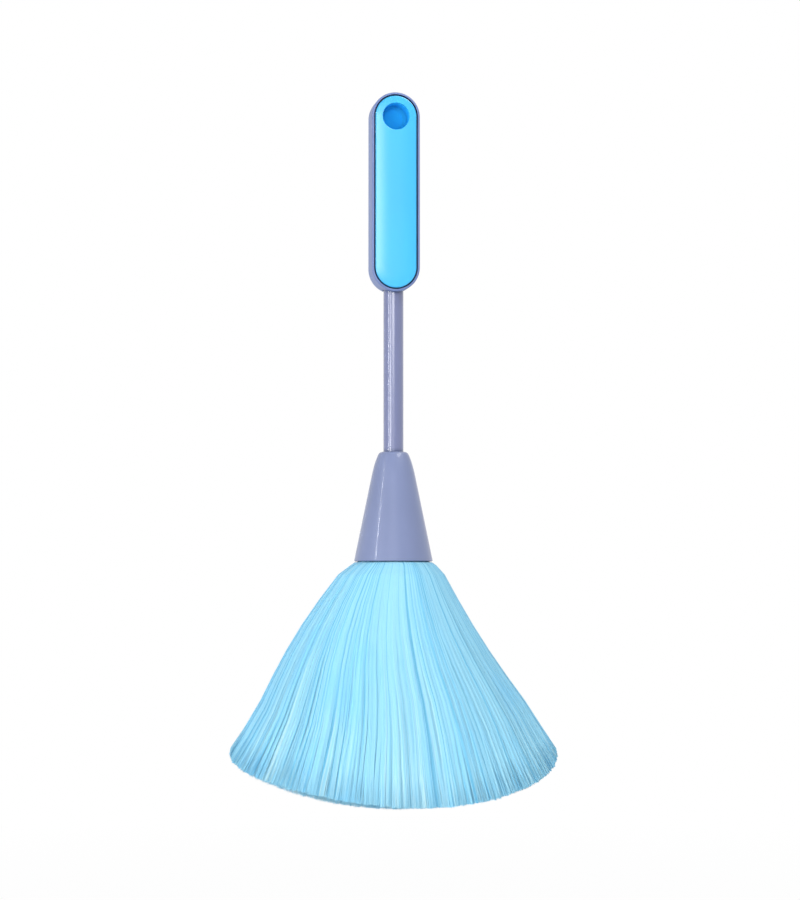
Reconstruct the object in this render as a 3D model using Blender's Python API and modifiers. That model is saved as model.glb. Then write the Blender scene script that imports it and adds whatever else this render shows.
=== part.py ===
"""Static duster: a hollow handle with a blue front plate, a thin tube, and a cone that holds a skirt of fibres.

The origin is the centre of the hanging socket, on the line of the tube. +Z runs up the tube and the blue plate
faces -Y. All lengths are in metres and all angles in degrees.
"""

import math
from collections import namedtuple

import bmesh
import bpy
from mathutils import Matrix, Vector

# Clearances shared by all pieces
FIT = 0.0003
OVERRUN = 0.002
MERGE = 0.00001

# Steps of round shapes
TURN_STEPS = 36
SMALL_TURN_STEPS = 16
END_STEPS = 40
ARC_STEPS = 4
EDGE_STEPS = 3
ROUND_SHARE = 0.5

# Tube between handle and cone
ROD_DIAMETER = 0.010
ROD_WALL = 0.0012
ROD_SHOWING = 0.079

# Hanging socket, a blue cup that is part of the front plate
SOCKET_DIAMETER = 0.0133
SOCKET_DEPTH = 0.010
SOCKET_WALL = 0.0013
SOCKET_FLOOR = 0.0015
SOCKET_RIM_ROUND = 0.0005
SOCKET_FLOOR_ROUND = 0.0016

# Front plate
PLATE_THICKNESS = 0.0026
PLATE_PROUD = 0.0006
PLATE_GROOVE = 0.0005
PLATE_EDGE_ROUND = 0.0009
POST_DIAMETER = 0.004
POST_PLACE_SHARES = (0.14, 0.5, 0.86)

# Handle tray
HANDLE_LENGTH = 0.099
HANDLE_WALL = 0.0024
HANDLE_RIM = 0.0011
HANDLE_FRONT_ROUND = 0.0008
HANDLE_BACK_ROUND = 0.005
SOCKET_MARGIN = 0.00165
BOSS_WALL = 0.0015
BOSS_HEIGHT = 0.005
BOSS_FLOOR = 0.0006
GRIP_DEPTH = 0.022
GRIP_ROOF = 0.002
GRIP_FRONT_WALL = 0.0009
GRIP_BACK_WALL = 0.0032

# Cross pin that keeps the tube in the handle
PIN_DIAMETER = 0.0025
PIN_CHAMFER = 0.0004
PIN_BACK_WALL = 0.0012
PIN_PLACE_SHARE = 0.6

# Screw and washer that clamp holder, cone and tube
SCREW_DIAMETER = 0.0035
SCREW_BITE = 0.012
SCREW_POINT = 0.0015
HEAD_DIAMETER = 0.0062
HEAD_HEIGHT = 0.0024
HEAD_ROUND = 0.001
HEAD_RECESS = 0.0004
CROSS_WIDTH = 0.0009
CROSS_LENGTH = 0.0036
CROSS_DEPTH = 0.0014
WASHER_DIAMETER = 0.0064
WASHER_THICKNESS = 0.0008

# Plug in the lower end of the tube
END_PLUG_ROOF = 0.005
END_PLUG_TIP_ROOM = 0.001

# Tufts, the net of strands across and deep in each, and the webs that the holder leaves round their bores
INNER_TUFTS = 6
INNER_NET = (4, 4)
OUTER_TUFTS = 12
OUTER_NET = (6, 4)
TUFT_PLUG_DIAMETER = 0.0042
TUFT_PLUG_LENGTH = 0.006
TUFT_PLUG_PROUD = 0.0003
HEAD_WEB = 0.001
RING_WEB = 0.0011
EDGE_WEB = 0.00085

# Holder disc inside the mouth of the cone
HOLDER_RECESS = 0.0025
HOLDER_ROOF = 0.0022
HUB_DIAMETER = 0.012
HUB_HEIGHT = 0.0067

# Cone
CONE_HEIGHT = 0.05425
CONE_WALL = 0.00125
CONE_SLOPE_SHARE = 0.2037
CONE_LIP_ROUND = 0.0005
CONE_FLOOR = 0.0025
CONE_TOP = 0.0085
SLEEVE_WALL = 0.0018
SHOULDER_ROUND = 0.0025
SHOULDER_KNEE = 0.00525
SHOULDER_BLEND = 0.007

# Skirt of fibres, which fans out from a point on the axis above the mouth
SKIRT_REACH = 0.153
SKIRT_APEX_HEIGHT = 0.03025
SKIRT_TIP_ANGLE = 33.3
SKIRT_MID_ANGLE = 35.2
SKIRT_MID_SHARE = 0.5
SKIRT_CENTRE_SHARE = 0.08
SKIRT_SPLIT_SHARE = 0.577
SKIRT_BULGE = 0.0029
SKIRT_LIP_DROP = 0.004
TRIM_SHARE = 0.03
TRIM_TURN = 137.5
STRAND_FULLNESS_SHARES = (0.94, 0.92, 0.34)

Ring = namedtuple("Ring", "name tufts radius net inner_share outer_share")

# Where the front plate and the tray lie along Y
grip_radius = ROD_DIAMETER / 2 + FIT
seat_y = -(grip_radius + GRIP_FRONT_WALL)
plate_back_y = seat_y - FIT
plate_front_y = plate_back_y - PLATE_THICKNESS
tray_front_y = plate_front_y + PLATE_PROUD
tray_back_y = grip_radius + GRIP_BACK_WALL
cavity_back_y = tray_back_y - HANDLE_WALL

# Heights along Z, from the hanging socket down
handle_radius = SOCKET_DIAMETER / 2 + SOCKET_WALL + SOCKET_MARGIN + HANDLE_WALL
handle_bottom_z = handle_radius - HANDLE_LENGTH
cavity_bottom_z = handle_bottom_z + GRIP_DEPTH + FIT + GRIP_ROOF
rod_top_z = handle_bottom_z + GRIP_DEPTH
pin_z = handle_bottom_z + GRIP_DEPTH * PIN_PLACE_SHARE
mouth_z = handle_bottom_z - ROD_SHOWING - CONE_HEIGHT

# Heights above the mouth of the cone
holder_bottom = HOLDER_RECESS
bore_top = holder_bottom + TUFT_PLUG_LENGTH + FIT
holder_top = bore_top + HOLDER_ROOF
hub_top = holder_top + HUB_HEIGHT
floor_bottom = hub_top + FIT
floor_top = floor_bottom + CONE_FLOOR
rod_bottom = floor_top + FIT
head_bottom = holder_bottom + HEAD_RECESS
head_top = head_bottom + HEAD_HEIGHT
washer_bottom = head_top + FIT
washer_top = washer_bottom + WASHER_THICKNESS
counterbore_top = washer_top + FIT
screw_top = rod_bottom + SCREW_BITE

# Radii, from the screw outwards
screw_hole_radius = SCREW_DIAMETER / 2 + FIT
counterbore_radius = max(HEAD_DIAMETER, WASHER_DIAMETER) / 2 + FIT
tuft_plug_radius = TUFT_PLUG_DIAMETER / 2
tuft_bore_radius = tuft_plug_radius + FIT
inner_ring_radius = counterbore_radius + HEAD_WEB + tuft_bore_radius
outer_ring_radius = inner_ring_radius + 2 * tuft_bore_radius + RING_WEB
holder_edge_radius = outer_ring_radius + tuft_bore_radius + EDGE_WEB
mouth_radius = holder_edge_radius + FIT + CONE_WALL + CONE_SLOPE_SHARE * bore_top

RINGS = (
    Ring("inner_tuft", INNER_TUFTS, inner_ring_radius, INNER_NET, SKIRT_CENTRE_SHARE, SKIRT_SPLIT_SHARE),
    Ring("outer_tuft", OUTER_TUFTS, outer_ring_radius, OUTER_NET, SKIRT_SPLIT_SHARE, 1),
)


# Shared tools

def clear_scene():
    for obj in list(bpy.data.objects):
        bpy.data.objects.remove(obj, do_unlink=True)


def new_collection(name):
    made = bpy.data.collections.new(name)
    bpy.context.scene.collection.children.link(made)
    return made


def finish(name, colour, roughness, metallic=0):
    """A plain finish, given by its colour, roughness and how metallic it is."""
    made = bpy.data.materials.new(name)
    made.use_nodes = True
    shader = made.node_tree.nodes["Principled BSDF"]
    shader.inputs["Base Color"].default_value = (*colour, 1)
    shader.inputs["Roughness"].default_value = roughness
    shader.inputs["Metallic"].default_value = metallic
    made.diffuse_color = (*colour, 1)
    return made


def place(name, mesh, look=None, frame=None):
    """The mesh as an object: a piece where it has a look, and otherwise a helper that isn't rendered."""
    obj = bpy.data.objects.new(name, mesh)
    obj.parent = frame
    if look:
        pieces.objects.link(obj)
        if look.name not in mesh.materials:
            mesh.materials.append(look)
        return obj
    cutters.objects.link(obj)
    obj.hide_render = True
    obj.display_type = "WIRE"
    return obj


def mesh_from(name, bm):
    """The finished mesh of a bmesh, with its faces pointing out."""
    bmesh.ops.recalc_face_normals(bm, faces=bm.faces[:])
    mesh = bpy.data.meshes.new(name)
    bm.to_mesh(mesh)
    bm.free()
    return mesh


def turned(name, profile, look=None, frame=None, closed=False, steps=TURN_STEPS):
    """A profile of (radius, height) points, listed down its outer side, turned round its own Z axis."""
    mesh = bpy.data.meshes.new(name)
    count = len(profile)
    edges = [(i, (i + 1) % count) for i in range(count if closed else count - 1)]
    mesh.from_pydata([(radius, 0, height) for radius, height in profile], edges, [])
    obj = place(name, mesh, look, frame)
    screw = obj.modifiers.new("turn", "SCREW")
    screw.angle = math.tau
    screw.steps = steps
    screw.render_steps = steps
    screw.use_merge_vertices = True
    screw.merge_threshold = MERGE
    return obj


def cylinder(name, radius, bottom, top, frame=None):
    """A round helper along its own Z axis."""
    profile = [(0, top), (radius, top), (radius, bottom), (0, bottom)]
    return turned(name, profile, frame=frame, steps=SMALL_TURN_STEPS)


def cylinder_along_y(name, radius, front, back, height):
    """A round helper whose axis runs front to back at this height."""
    obj = cylinder(name, radius, -back, -front)
    face_front(obj, height)
    return obj


def face_front(obj, height):
    """Turns an object's +Z axis to the front, at this height."""
    obj.rotation_euler.x = math.pi / 2
    obj.location.z = height


def arc(centre, radius, start, end, steps=ARC_STEPS):
    """Points of an arc from the start angle to the end angle, in radians, both ends included."""
    turns = [start + (end - start) * i / steps for i in range(steps + 1)]
    return [(centre[0] + radius * math.cos(turn), centre[1] + radius * math.sin(turn)) for turn in turns]


def join(target, helper, operation="DIFFERENCE"):
    boolean = target.modifiers.new(helper.name, "BOOLEAN")
    boolean.operation = operation
    boolean.solver = "EXACT"
    boolean.object = helper


def stadium(name, inset, front, back, lowest=None, front_round=0, back_round=0, look=None):
    """An upright slab with round ends, this far inside the handle's outline, with its front and back edges rounded.

    It ends this far inside the handle's lower end too, unless its lowest point is given.
    """
    radius = handle_radius - inset
    if lowest is None:
        lowest = handle_bottom_z + inset
    lower_centre = lowest + radius
    bm = bmesh.new()
    half_step = math.pi / END_STEPS
    upright = Matrix.Rotation(math.pi / 2, 4, "X") @ Matrix.Rotation(half_step, 4, "Z")
    corner_radius = radius / math.cos(half_step)
    bmesh.ops.create_circle(bm, cap_ends=True, segments=END_STEPS, radius=corner_radius, matrix=upright)
    for vert in bm.verts:
        vert.co.y = front
        if vert.co.z < 0:
            vert.co.z += lower_centre
    grown = bmesh.ops.extrude_face_region(bm, geom=bm.faces[:])
    far = [item for item in grown["geom"] if isinstance(item, bmesh.types.BMVert)]
    bmesh.ops.translate(bm, verts=far, vec=(0, back - front, 0))
    for edge_y, rounding in ((front, front_round), (back, back_round)):
        if rounding:
            edges = [edge for edge in bm.edges if all(abs(v.co.y - edge_y) < MERGE for v in edge.verts)]
            bmesh.ops.bevel(
                bm, geom=edges, offset=rounding, segments=EDGE_STEPS, profile=ROUND_SHARE, affect="EDGES"
            )
    return place(name, mesh_from(name, bm), look)


# Handle

def post_heights():
    """Where the posts of the front plate stand, between the hanging socket and the grip."""
    top = -(SOCKET_DIAMETER / 2 + SOCKET_WALL)
    return [top + (cavity_bottom_z - top) * share for share in POST_PLACE_SHARES]


def make_tray():
    """The grey tray: hollow above the grip, with a seat for the front plate and a boss for each of its posts."""
    tray = stadium(
        "handle_rear_shell",
        0,
        tray_front_y,
        tray_back_y,
        front_round=HANDLE_FRONT_ROUND,
        back_round=HANDLE_BACK_ROUND,
        look=grey_shell,
    )
    front = tray_front_y - OVERRUN
    join(tray, stadium("seat_cutter", HANDLE_RIM, front, seat_y))
    join(
        tray,
        stadium(
            "cavity_cutter",
            HANDLE_WALL,
            front,
            cavity_back_y,
            lowest=cavity_bottom_z,
            back_round=HANDLE_BACK_ROUND - HANDLE_WALL,
        ),
    )
    for index, height in enumerate(post_heights(), 1):
        join(tray, boss_helper(f"boss_{index}", height), "UNION")
    join(tray, cylinder("grip_cutter", grip_radius, handle_bottom_z - OVERRUN, rod_top_z + FIT))
    pin_end = tray_back_y - PIN_BACK_WALL
    join(tray, cylinder_along_y("pin_cutter", PIN_DIAMETER / 2 + FIT, front, pin_end, pin_z))


def boss_helper(name, height):
    """A boss on the back wall of the tray, with a blind hole for a post."""
    hole_radius = POST_DIAMETER / 2 + FIT
    outer_radius = hole_radius + BOSS_WALL
    front = BOSS_HEIGHT - cavity_back_y
    floor = BOSS_FLOOR - cavity_back_y
    root = -(cavity_back_y + HANDLE_WALL / 2)
    profile = [
        (0, floor),
        (hole_radius, floor),
        (hole_radius, front),
        (outer_radius, front),
        (outer_radius, root),
        (0, root),
    ]
    boss = turned(name, profile, steps=SMALL_TURN_STEPS)
    face_front(boss, height)
    return boss


def make_plate():
    """The blue plate with the cup of the hanging socket and the posts behind it."""
    plate = stadium(
        "handle_front_cover",
        HANDLE_RIM + PLATE_GROOVE,
        plate_front_y,
        plate_back_y,
        front_round=PLATE_EDGE_ROUND,
        look=blue_plate,
    )
    root = plate_back_y - PLATE_THICKNESS / 2
    floor_y = plate_front_y + SOCKET_DEPTH
    cup_radius = SOCKET_DIAMETER / 2 + SOCKET_WALL
    cup = cylinder_along_y("cup", cup_radius, root, floor_y + SOCKET_FLOOR, 0)
    join(plate, cup, "UNION")
    post_end = cavity_back_y - BOSS_FLOOR - FIT
    for index, height in enumerate(post_heights(), 1):
        post = cylinder_along_y(f"post_{index}", POST_DIAMETER / 2, root, post_end, height)
        join(plate, post, "UNION")
    join(plate, socket_cutter(-plate_front_y, -floor_y))


def socket_cutter(front, floor):
    """The space of the hanging socket, with a rounded rim and a floor that is rounded into its wall."""
    radius = SOCKET_DIAMETER / 2
    rim = SOCKET_RIM_ROUND
    rim_centre = (radius + rim, front - rim)
    floor_centre = (radius - SOCKET_FLOOR_ROUND, floor + SOCKET_FLOOR_ROUND)
    profile = [
        (0, front + OVERRUN),
        (radius + rim, front + OVERRUN),
        *arc(rim_centre, rim, math.pi / 2, math.pi),
        *arc(floor_centre, SOCKET_FLOOR_ROUND, 0, -math.pi / 2),
        (0, floor),
    ]
    cutter = turned("socket_cutter", profile)
    face_front(cutter, 0)
    return cutter


def make_pin():
    """The cross pin, from just under the front plate to the back wall of the grip."""
    front = -(seat_y + FIT)
    back = -(tray_back_y - PIN_BACK_WALL - FIT)
    radius = PIN_DIAMETER / 2
    profile = [
        (0, front),
        (radius - PIN_CHAMFER, front),
        (radius, front - PIN_CHAMFER),
        (radius, back + PIN_CHAMFER),
        (radius - PIN_CHAMFER, back),
        (0, back),
    ]
    pin = turned("rod_pin", profile, steel, steps=SMALL_TURN_STEPS)
    face_front(pin, pin_z)


# Tube

def make_rod():
    """The tube, from the grip in the handle to the floor of the cone's sleeve."""
    bottom_z = mouth_z + rod_bottom
    outer = ROD_DIAMETER / 2
    inner = outer - ROD_WALL
    profile = [(outer, rod_top_z), (outer, bottom_z), (inner, bottom_z), (inner, rod_top_z)]
    rod = turned("rod", profile, grey_tube, closed=True)
    pin_hole = cylinder_along_y("rod_pin_cutter", PIN_DIAMETER / 2 + FIT, -ROD_DIAMETER, ROD_DIAMETER, pin_z)
    join(rod, pin_hole)


def make_end_plug(head):
    """The plug that is pressed into the tube, with a blind hole for the screw."""
    radius = ROD_DIAMETER / 2 - ROD_WALL - FIT
    hole_top = screw_top + END_PLUG_TIP_ROOM
    top = hole_top + END_PLUG_ROOF
    profile = [
        (0, top),
        (radius, top),
        (radius, rod_bottom),
        (screw_hole_radius, rod_bottom),
        (screw_hole_radius, hole_top),
        (0, hole_top),
    ]
    turned("rod_end_plug", profile, dark_plug, head, steps=SMALL_TURN_STEPS)


# Cone, holder and screw

def cone_radius(height):
    """The outer radius of the straight cone at this height above its mouth."""
    return mouth_radius - CONE_SLOPE_SHARE * height


def shoulder_profile():
    """The domed shoulder, from the hole for the tube down to where the straight cone starts."""
    centre = (grip_radius, CONE_HEIGHT - SHOULDER_ROUND)
    knee_height = CONE_HEIGHT - SHOULDER_KNEE
    knee = Vector((cone_radius(knee_height), knee_height))
    away = knee - Vector(centre)
    tangent = math.atan2(away.y, away.x) + math.acos(SHOULDER_ROUND / away.length)
    top = arc(centre, SHOULDER_ROUND, math.pi / 2, tangent)
    start = Vector(top[-1])
    end_height = knee_height - SHOULDER_BLEND
    end = Vector((cone_radius(end_height), end_height))
    blend = []
    for step in range(1, ARC_STEPS + 1):
        share = step / ARC_STEPS
        upper = start.lerp(knee, share)
        lower = knee.lerp(end, share)
        blend.append(tuple(upper.lerp(lower, share)))
    return top + blend


def make_cone(head):
    """The cone, with a lip at its mouth and a sleeve inside whose floor carries the end of the tube."""
    inner_top = CONE_HEIGHT - CONE_TOP
    sleeve_radius = grip_radius + SLEEVE_WALL
    lip = CONE_LIP_ROUND
    lip_centre = (mouth_radius - lip, lip)
    profile = [
        *shoulder_profile(),
        *arc(lip_centre, lip, 0, -math.pi / 2),
        (mouth_radius - CONE_WALL, 0),
        (cone_radius(inner_top) - CONE_WALL, inner_top),
        (sleeve_radius, inner_top),
        (sleeve_radius, floor_bottom),
        (screw_hole_radius, floor_bottom),
        (screw_hole_radius, floor_top),
        (grip_radius, floor_top),
    ]
    turned("ferrule", profile, grey_cone, head, closed=True)


def make_holder(head):
    """The disc that the tufts sit in, tapered like the cone, with a hub that meets the floor of the sleeve."""
    taper = CONE_WALL + FIT
    profile = [
        (HUB_DIAMETER / 2, hub_top),
        (HUB_DIAMETER / 2, holder_top),
        (cone_radius(holder_top) - taper, holder_top),
        (cone_radius(holder_bottom) - taper, holder_bottom),
        (counterbore_radius, holder_bottom),
        (counterbore_radius, counterbore_top),
        (screw_hole_radius, counterbore_top),
        (screw_hole_radius, hub_top),
    ]
    holder = turned("fibre_holder", profile, dark_plug, head, closed=True)
    for ring in RINGS:
        for index in range(ring.tufts):
            turn = math.tau * index / ring.tufts
            bottom = holder_bottom - OVERRUN
            bore = cylinder(f"{ring.name}_bore_{index + 1}", tuft_bore_radius, bottom, bore_top, head)
            bore.location = (ring.radius * math.cos(turn), ring.radius * math.sin(turn), 0)
            join(holder, bore)


def make_washer(head):
    outer = WASHER_DIAMETER / 2
    profile = [
        (outer, washer_top),
        (outer, washer_bottom),
        (screw_hole_radius, washer_bottom),
        (screw_hole_radius, washer_top),
    ]
    turned("holder_washer", profile, steel, head, closed=True, steps=SMALL_TURN_STEPS)


def make_screw(head):
    """The screw, with its head below, a cross recess in the head, and its point up in the plug."""
    radius = SCREW_DIAMETER / 2
    head_radius = HEAD_DIAMETER / 2
    round_centre = (head_radius - HEAD_ROUND, head_bottom + HEAD_ROUND)
    profile = [
        (0, screw_top),
        (radius, screw_top - SCREW_POINT),
        (radius, head_top),
        (head_radius, head_top),
        *arc(round_centre, HEAD_ROUND, 0, -math.pi / 2),
        (0, head_bottom),
    ]
    screw = turned("holder_screw", profile, steel, head, steps=SMALL_TURN_STEPS)
    depth = CROSS_DEPTH + OVERRUN
    for axis, size in (("x", (CROSS_LENGTH, CROSS_WIDTH)), ("y", (CROSS_WIDTH, CROSS_LENGTH))):
        bm = bmesh.new()
        bmesh.ops.create_cube(bm, size=1)
        bmesh.ops.scale(bm, verts=bm.verts, vec=(*size, depth))
        bmesh.ops.translate(bm, verts=bm.verts, vec=(0, 0, head_bottom + CROSS_DEPTH - depth / 2))
        name = f"cross_cutter_{axis}"
        join(screw, place(name, mesh_from(name, bm), frame=head))


# Tufts

def plug_point(across, out, ring):
    """A point of the square net, -1 to 1 each way, drawn into the round section of a tuft's plug."""
    sideways = across * math.sqrt(1 - out * out / 2) * tuft_plug_radius
    outwards = out * math.sqrt(1 - across * across / 2) * tuft_plug_radius
    return ring.radius + outwards, -sideways


def skirt_point(across, out, level, ring):
    """A point of the net where a strand has reached this level: 1 at the lip, 2 half way down, 3 at its tip."""
    turn = -across * math.pi / ring.tufts
    share = ring.inner_share + (ring.outer_share - ring.inner_share) * (out + 1) / 2
    if level == 1:
        radius = share * (mouth_radius + SKIRT_BULGE)
        height = -SKIRT_LIP_DROP
    else:
        down = level - 2
        reach = SKIRT_REACH * (SKIRT_MID_SHARE + (1 - SKIRT_MID_SHARE) * down)
        angle = math.radians(share * (SKIRT_MID_ANGLE + (SKIRT_TIP_ANGLE - SKIRT_MID_ANGLE) * down))
        radius = reach * math.sin(angle)
        height = SKIRT_APEX_HEIGHT - reach * math.cos(angle)
    return radius * math.cos(turn), radius * math.sin(turn), height


def faces_out(face):
    """Whether this triangle of the net has its straight side on the outside."""
    centre = face.calc_center_median().y
    return sum(vert.co.y > centre for vert in face.verts) == 2


def draw_strands(bm, roots):
    """Draws each root triangle down through the levels, narrower at each, and trims the tips a little unevenly."""
    faces = roots
    before = 1
    for level, fullness in enumerate(STRAND_FULLNESS_SHARES, 1):
        faces = bmesh.ops.extrude_discrete_faces(bm, faces=faces)["faces"]
        for index, face in enumerate(faces):
            trim = 0
            if level == len(STRAND_FULLNESS_SHARES):
                trim = TRIM_SHARE * math.sin(math.radians(TRIM_TURN) * index)
            centre = face.calc_center_median()
            for vert in face.verts:
                vert.co = centre + (vert.co - centre) * fullness / before
                vert.co.z = -level - trim
        before = fullness


def tuft_mesh(ring):
    """One tuft: a round plug whose lower face is a net of triangles, every other one drawn out into a strand."""
    bm = bmesh.new()
    bmesh.ops.create_grid(bm, x_segments=ring.net[0], y_segments=ring.net[1], size=1)
    bmesh.ops.triangulate(bm, faces=bm.faces[:], quad_method="FIXED")
    net = bm.faces[:]
    grown = bmesh.ops.extrude_face_region(bm, geom=net, use_keep_orig=True)["geom"]
    upper = [item for item in grown if isinstance(item, bmesh.types.BMVert)]
    bmesh.ops.translate(bm, verts=upper, vec=(0, 0, 1))
    bmesh.ops.dissolve_faces(bm, faces=[item for item in grown if isinstance(item, bmesh.types.BMFace)])
    draw_strands(bm, [face for face in net if faces_out(face)])
    plug_bottom = holder_bottom - TUFT_PLUG_PROUD
    for vert in bm.verts:
        across, out, level = vert.co
        if level >= 0:
            vert.co = (*plug_point(across, out, ring), plug_bottom + level * TUFT_PLUG_LENGTH)
        else:
            vert.co = skirt_point(across, out, -level, ring)
    return mesh_from(ring.name, bm)


def make_tufts(head):
    """The rings of tufts. The tufts of a ring are alike, each turned to its own bore."""
    for ring in RINGS:
        mesh = tuft_mesh(ring)
        digits = len(str(ring.tufts))
        for index in range(ring.tufts):
            tuft = place(f"{ring.name}_{index + 1:0{digits}d}", mesh, fibre, head)
            tuft.rotation_euler.z = math.tau * index / ring.tufts


clear_scene()
pieces = new_collection("static_duster")
cutters = new_collection("cutters")

grey_shell = finish("grey_shell", (0.33, 0.35, 0.52), 0.35)
grey_tube = finish("grey_tube", (0.30, 0.33, 0.48), 0.22)
grey_cone = finish("grey_cone", (0.32, 0.37, 0.58), 0.38)
blue_plate = finish("blue_plate", (0.13, 0.65, 0.98), 0.25)
fibre = finish("blue_fibre", (0.38, 0.80, 0.95), 0.7)
dark_plug = finish("dark_plug", (0.12, 0.13, 0.16), 0.5)
steel = finish("steel", (0.62, 0.62, 0.64), 0.3, 1)

head_frame = bpy.data.objects.new("head_frame", None)
pieces.objects.link(head_frame)
head_frame.location.z = mouth_z

make_tray()
make_plate()
make_pin()
make_rod()
make_end_plug(head_frame)
make_cone(head_frame)
make_holder(head_frame)
make_washer(head_frame)
make_screw(head_frame)
make_tufts(head_frame)
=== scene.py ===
"""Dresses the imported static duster: handle, tube, cone, fixings and fibres, with stage, lights and camera.

All lengths are in metres, in the frame of the CAD model: the origin is the centre of the hanging socket,
+Z runs up the tube and the blue plate faces -Y. Lengths that the CAD model doesn't show from outside are
repeated here.
"""

import random
from bisect import bisect
from collections import namedtuple
from math import acos, atan, atan2, cos, exp, pi, radians, remainder, sin, sqrt, tau

import bmesh
import bpy
from mathutils import Matrix, Vector


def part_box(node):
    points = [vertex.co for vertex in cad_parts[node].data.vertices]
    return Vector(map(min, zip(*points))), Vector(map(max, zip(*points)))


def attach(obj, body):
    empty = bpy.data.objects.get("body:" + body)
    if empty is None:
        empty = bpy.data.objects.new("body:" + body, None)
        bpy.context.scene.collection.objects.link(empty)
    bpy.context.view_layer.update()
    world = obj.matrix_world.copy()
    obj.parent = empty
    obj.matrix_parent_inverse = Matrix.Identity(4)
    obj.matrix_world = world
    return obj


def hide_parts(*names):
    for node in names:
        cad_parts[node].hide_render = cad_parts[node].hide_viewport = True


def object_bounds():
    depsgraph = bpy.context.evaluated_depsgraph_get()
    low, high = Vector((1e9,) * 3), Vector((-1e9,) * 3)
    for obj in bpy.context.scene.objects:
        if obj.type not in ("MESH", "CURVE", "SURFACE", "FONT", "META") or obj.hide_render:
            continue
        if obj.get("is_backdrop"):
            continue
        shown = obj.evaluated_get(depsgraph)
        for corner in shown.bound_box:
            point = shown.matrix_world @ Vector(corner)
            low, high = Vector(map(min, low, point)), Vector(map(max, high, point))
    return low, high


bl_info = {
    "name": "Static duster",
    "version": (1, 0, 0),
    "blender": (4, 5, 0),
    "location": "View3D > Sidebar > Duster",
    "description": "Builds the finished pieces of a static duster on its CAD frame, and a stage for them",
    "category": "Object",
}

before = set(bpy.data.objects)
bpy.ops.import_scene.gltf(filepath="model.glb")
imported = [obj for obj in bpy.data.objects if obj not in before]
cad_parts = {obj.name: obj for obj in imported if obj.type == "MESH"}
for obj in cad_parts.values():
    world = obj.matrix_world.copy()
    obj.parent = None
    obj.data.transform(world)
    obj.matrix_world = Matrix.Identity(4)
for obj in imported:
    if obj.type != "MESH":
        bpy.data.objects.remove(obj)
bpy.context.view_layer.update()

BODY = "root"

# Clearances and shading
FIT = 0.0003
OVERRUN = 0.002
MERGE = 0.000001
SHARP_ANGLE = radians(38)

# Plastics: flow marks in the colour, wear in the gloss, and painted shade, a navy colour, in narrow gaps
FLOW_STOPS = ((0.3, 0.96), (0.5, 1), (0.7, 1.04))
WEAR_SPREAD = 0.02
GAP_SHADE_DISTANCE = 0.002
GAP_SHADE_POWER = 2
GAP_SHADE_COLOUR = (0.005, 0.035, 0.13)

# Steel, with marks of turning
STEEL_COLOUR = (0.6, 0.6, 0.62)
STEEL_ROUGHNESS = (0.22, 0.42)
MARK_STOPS = ((0.3, 0.85), (0.7, 1))

# Fibre finish
SHADES = ("tone", "blue")
MAIN_TONES = (0.35, 0.65)

# Where the CAD pieces end
shell_low, shell_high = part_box("handle_rear_shell")
plate_low, plate_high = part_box("handle_front_cover")
rod_low, rod_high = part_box("rod")
cone_low, cone_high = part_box("ferrule")
holder_low, holder_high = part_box("fibre_holder")
pin_low, pin_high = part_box("rod_pin")

# Handle shell
HANDLE_WALL = 0.0024
HANDLE_RIM = 0.0011
RIM_LIP = 0.00015
HANDLE_FRONT_ROUND = 0.0008
HANDLE_BACK_ROUND = 0.005
SEAT_DEPTH = 0.0023
GRIP_DEPTH = 0.022
GRIP_ROOF = 0.002
BOSS_WALL = 0.0015
BOSS_HEIGHT = 0.005
BOSS_FLOOR = 0.0006

# Front plate and hanging socket
PLATE_THICKNESS = 0.0026
PLATE_EDGE_ROUND = 0.0009
CROWN_END = 0.0004
CROWN_POWER = 3
PLATE_SPECULAR = 0.4
POST_DIAMETER = 0.004
POST_PLACE_SHARES = (0.14, 0.5, 0.86)
SOCKET_DIAMETER = 0.0133
SOCKET_DEPTH = 0.010
SOCKET_WALL = 0.0013
SOCKET_FLOOR = 0.0015
SOCKET_RIM_ROUND = 0.0005
SOCKET_FLOOR_ROUND = 0.0016

# Tube
ROD_WALL = 0.0012
ROD_END_CHAMFER = 0.0002

# Cone
CONE_WALL = 0.00125
CONE_SLOPE_SHARE = 0.2037
CONE_LIP_ROUND = 0.0005
CONE_TOP = 0.0085
CONE_FLOOR = 0.0025
SLEEVE_WALL = 0.0018
SHOULDER_ROUND = 0.0025
SHOULDER_KNEE = 0.00525
SHOULDER_BLEND = 0.007
SCREW_HOLE_DIAMETER = 0.0041

# Skirt of fibres, which fans out from a point on the axis above the mouth
SKIRT_REACH = 0.151
SKIRT_APEX_HEIGHT = 0.03025
SKIRT_ANGLES = (37.7, -9.0, 4.2)
SKIRT_FULLNESS = 0.05
SKIRT_FRONT_LENGTH = 0.1438
SKIRT_FRONT_POWER = 0.45
SKIRT_FRONT_SOFTNESS = 0.015
SKIRT_TILT = 0.04
SKIRT_FRONT_EDGE_POWER = 3
SKIRT_CORNER_CUT = 0.029
SKIRT_CORNER_POWER = 4
SKIRT_FRONT_TURN = radians(9.18)
LEAN_START = 0.24
LEAN_SPAN = 0.56
MOUTH_REACH = 0.045
MOUTH_ROOM_SHARE = 0.26
ROOT_WIDTH_SHARE = 0.35
TIP_WIDTH_SHARE = 0.4
LAYER_SHARES = (1, 0.988)
LOCK_OVERLAP = 1.25
MIDDLE_SHARE = 0.93
MIDDLE_END_SHARE = 0.93
UNDER_SHARE = 0.955
UNDER_START_SHARE = 0.86
UNDER_STEPS = 2
SECTORS = 6
SECTOR_START = 0.25
FACET_TURN = 0.2
# Painted shade: thin lines round the skirt where the fibre colour is made deeper
SHADE_LINE_WIDTH = 0.00028
ROOT_TONE_SHARE = 0.5
MIDDLE_TONE = 0.5
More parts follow.
